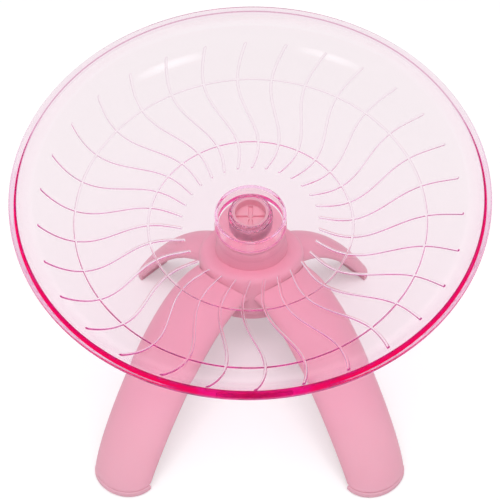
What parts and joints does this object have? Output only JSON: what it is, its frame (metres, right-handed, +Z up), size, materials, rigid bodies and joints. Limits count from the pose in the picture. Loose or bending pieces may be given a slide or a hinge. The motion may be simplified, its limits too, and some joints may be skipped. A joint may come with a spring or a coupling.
{
  "type": "hamster exercise wheel",
  "caption": "Hamster exercise wheel: clear pink bowl-shaped running dish with curved grip ribs, turning on a ball bearing, tilted on a stand with plug-in arched legs.",
  "frame": {"origin": "on the ground that the foot pads rest on, under the middle of the bounding box", "axes": "+X to the right as seen from the low side of the dish, +Y towards the high side of the dish, +Z up"},
  "size_m": [0.18, 0.1698, 0.11],
  "materials": {
    "clear_pink_plastic": "clear, gloss",
    "pink_plastic": "satin",
    "soft_pink_rubber": "matte",
    "bearing_steel": "polished",
    "screw_steel": "plated",
    "cage_nylon": "natural nylon"
  },
  "bodies": {
    "stand": {"stand_hub": "pink_plastic", "bearing_cap": "pink_plastic", "hub_bottom_cover": "pink_plastic", "leg_front_left": "pink_plastic", "leg_front_right": "pink_plastic", "leg_rear_left": "pink_plastic", "leg_rear_right": "pink_plastic", "foot_pad_front_left": "soft_pink_rubber", "foot_pad_front_right": "soft_pink_rubber", "foot_pad_rear_left": "soft_pink_rubber", "foot_pad_rear_right": "soft_pink_rubber", "leg_screw_1": "screw_steel", "leg_screw_2": "screw_steel", "leg_screw_3": "screw_steel", "leg_screw_4": "screw_steel", "bearing_outer_ring": "bearing_steel", "bearing_shield_top": "bearing_steel", "bearing_shield_bottom": "bearing_steel"},
    "wheel": {"running_dish": "clear_pink_plastic", "spindle": "pink_plastic", "spindle_washer": "screw_steel", "spindle_screw": "screw_steel", "bearing_inner_ring": "bearing_steel"},
    "ball_cage": {"bearing_cage": "cage_nylon", "bearing_ball_1": "bearing_steel", "bearing_ball_2": "bearing_steel", "bearing_ball_3": "bearing_steel", "bearing_ball_4": "bearing_steel", "bearing_ball_5": "bearing_steel", "bearing_ball_6": "bearing_steel", "bearing_ball_7": "bearing_steel"}
  },
  "joints": [
    {"name": "dish_spin", "type": "hinge", "parent": "stand", "child": "wheel", "pos_m": [0, -0.00038, 0.07922], "axis": [0, -0.342, 0.9397], "continuous": true},
    {"name": "cage_spin", "type": "hinge", "parent": "stand", "child": "ball_cage", "pos_m": [0, -0.00038, 0.07922], "axis": [0, -0.342, 0.9397], "continuous": true}
  ],
  "couplings": [
    {"joint": "cage_spin", "follows": "dish_spin", "ratio": 0.368}
  ]
}
